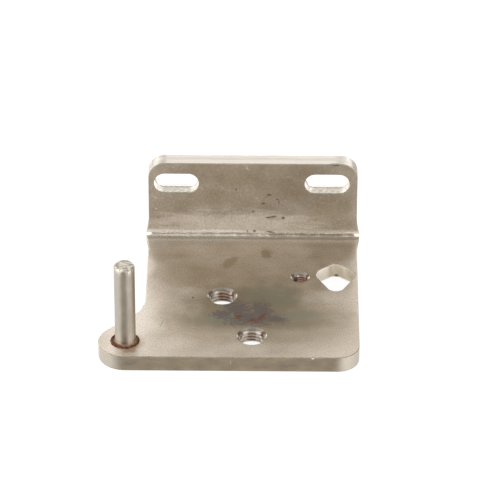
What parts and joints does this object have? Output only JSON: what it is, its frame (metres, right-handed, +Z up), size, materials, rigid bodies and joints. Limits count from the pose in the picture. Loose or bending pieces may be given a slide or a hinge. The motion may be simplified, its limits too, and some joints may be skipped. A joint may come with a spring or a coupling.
{
  "type": "fridge door hinge",
  "caption": "Heavy folded steel hinge bracket for a fridge door: a slotted flange bolts to the cabinet, and an upright pin on the plate's side lug carries the door.",
  "frame": {"origin": "the hinge pin's axis at the plate's top face", "axes": "+Z up along the hinge pin, +Y back towards the flange that bolts to the cabinet, +X along the plate's front edge, away from the pin"},
  "size_m": [0.0763, 0.0677, 0.0314],
  "materials": {
    "bracket_steel": "satin mill finish, tarnished brown in places",
    "pin_steel": "ground, with rust at its foot"
  },
  "bodies": {
    "root": {"hinge_bracket": "bracket_steel", "hinge_pin": "pin_steel"}
  },
  "joints": []
}
